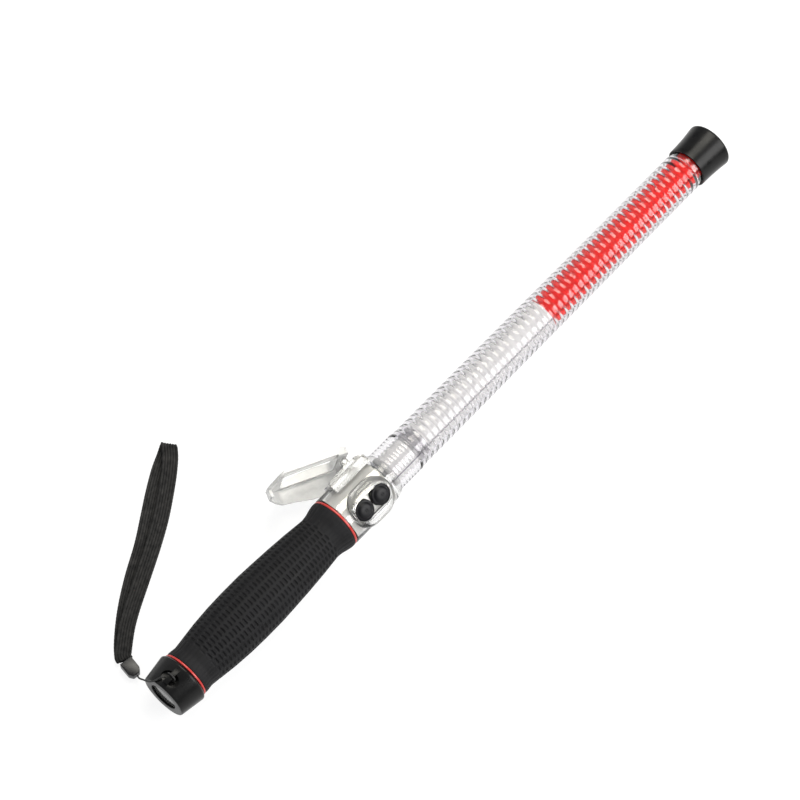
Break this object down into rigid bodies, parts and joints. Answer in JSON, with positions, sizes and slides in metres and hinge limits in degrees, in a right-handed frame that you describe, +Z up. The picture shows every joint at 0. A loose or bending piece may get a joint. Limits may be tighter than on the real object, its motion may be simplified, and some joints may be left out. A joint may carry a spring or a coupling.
{
  "type": "traffic baton light",
  "caption": "Hand-held traffic baton: red light tube with a clear ribbed cover, rubber grip, tail torch, side buttons, folding hook and wrist strap.",
  "frame": {"origin": "on the surface that the baton lies on, under the middle of its length and of its width over the button bezel and the hook", "axes": "+X along the baton from the tail cap to the tip, +Y towards the hook, +Z up"},
  "size_m": [0.5416, 0.1509, 0.047],
  "materials": {
    "black_plastic": "satin moulded black",
    "black_rubber": "soft matt black",
    "red_rubber": "satin red",
    "clear_plastic": "polished clear",
    "silver_film": "silvered film",
    "clear_film": "milky clear",
    "red_film": "translucent red",
    "chrome": "bright plated",
    "steel": "bright steel",
    "brass": "bright brass",
    "circuit_board": "green solder mask",
    "cell_can": "printed film over a metal can",
    "led_yellow": "clear yellow epoxy",
    "led_red": "clear red epoxy",
    "webbing": "ribbed woven nylon"
  },
  "bodies": {
    "handle": {"rear_red_ring": "red_rubber", "front_red_ring": "red_rubber", "handle_tube": "black_plastic", "grip_sleeve": "black_rubber", "battery_1": "cell_can", "battery_2": "cell_can", "contact_plate": "brass", "driver_board": "circuit_board", "switch_housing": "clear_plastic", "housing_liner": "silver_film", "button_bezel": "clear_plastic", "switch_board": "circuit_board", "tact_switch_rear": "black_plastic", "tact_switch_front": "black_plastic", "hook_base": "clear_plastic", "hook_pin": "steel", "hook_screw_1": "steel", "hook_screw_2": "steel", "tube_socket": "clear_plastic", "light_tube": "clear_plastic", "clear_sleeve": "clear_film", "red_sleeve": "red_film", "lamp_board": "circuit_board", "lamp_1": "led_red", "lamp_2": "led_red", "lamp_3": "led_red", "lamp_4": "led_red", "lamp_5": "led_red", "lamp_6": "led_red", "lamp_7": "led_red", "lamp_8": "led_red", "lamp_9": "led_red", "lamp_10": "led_red", "tip_cap": "black_plastic"},
    "tail": {"tail_cap": "black_plastic", "tail_lens": "clear_plastic", "lens_seal": "black_rubber", "tail_reflector": "chrome", "torch_board": "circuit_board", "torch_led": "led_yellow", "battery_spring": "steel", "lanyard_cord": "webbing", "strap_clasp": "black_plastic", "wrist_strap": "webbing"},
    "rear_button": {"button_rear": "black_rubber"},
    "front_button": {"button_front": "black_rubber"},
    "hook": {"hook_loop": "clear_plastic"}
  },
  "joints": [
    {"name": "tail_cap_pull", "type": "slide", "parent": "handle", "child": "tail", "axis": [-1, 0, 0], "range_m": [0, 0.04]},
    {"name": "rear_button_press", "type": "slide", "parent": "handle", "child": "rear_button", "axis": [0, 0.6691, -0.7431], "range_m": [0, 0.0012], "stiffness_N_per_m": 1500},
    {"name": "front_button_press", "type": "slide", "parent": "handle", "child": "front_button", "axis": [0, 0.6691, -0.7431], "range_m": [0, 0.0012], "stiffness_N_per_m": 1500},
    {"name": "hook_swing", "type": "hinge", "parent": "handle", "child": "hook", "pos_m": [-0.08, 0.00901, 0.02466], "axis": [0, 0.2079, -0.9781], "range_deg": [-24.5, 49.5]}
  ]
}
